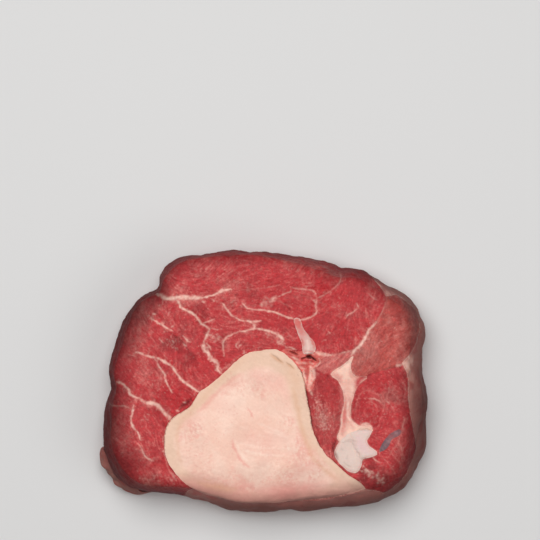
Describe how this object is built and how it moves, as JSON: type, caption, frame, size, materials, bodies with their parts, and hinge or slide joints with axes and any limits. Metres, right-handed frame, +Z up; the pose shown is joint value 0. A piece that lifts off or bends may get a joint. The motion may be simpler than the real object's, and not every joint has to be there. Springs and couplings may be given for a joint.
{
  "type": "raw beef shank slice",
  "caption": "Thick raw beef shank slice sawn across the leg, with the shin bone, muscles, fat cover, tendons and vessels showing on its cut face.",
  "frame": {"origin": "on the surface it lies on, under the middle of its box", "axes": "+X along the slice's length to the fat-covered side, +Y away from the bone across its width, +Z up through its thickness"},
  "size_m": [0.1392, 0.111, 0.0341],
  "materials": {
    "muscle": "moist raw red muscle with fine fibres",
    "muscle_pale": "moist paler pink muscle",
    "muscle_dark": "moist dark red muscle",
    "bone_core": "sawn spongy bone, matt cream pink",
    "bone_wall": "sawn dense bone, satin cream",
    "fat": "waxy cream pink fat",
    "tendon": "pearly white tendon",
    "tendon_grey": "grey violet tendon",
    "vessel": "soft pale red vessel tissue"
  },
  "bodies": {
    "root": {"bone_core": "bone_core", "bone_wall": "bone_wall", "fat_cover": "fat", "fat_flap": "fat", "fat_seam": "fat", "muscle_centre": "muscle", "muscle_inner": "muscle_dark", "muscle_left": "muscle", "muscle_left_mid": "muscle", "muscle_lower_left": "muscle", "muscle_lower_right": "muscle", "muscle_right": "muscle_pale", "muscle_small": "muscle", "muscle_top": "muscle", "muscle_upper_right": "muscle", "nerve_tube": "vessel", "tendon_large": "tendon", "tendon_small": "tendon_grey", "tendon_strip": "tendon", "vessel_bundle": "vessel"}
  },
  "joints": []
}
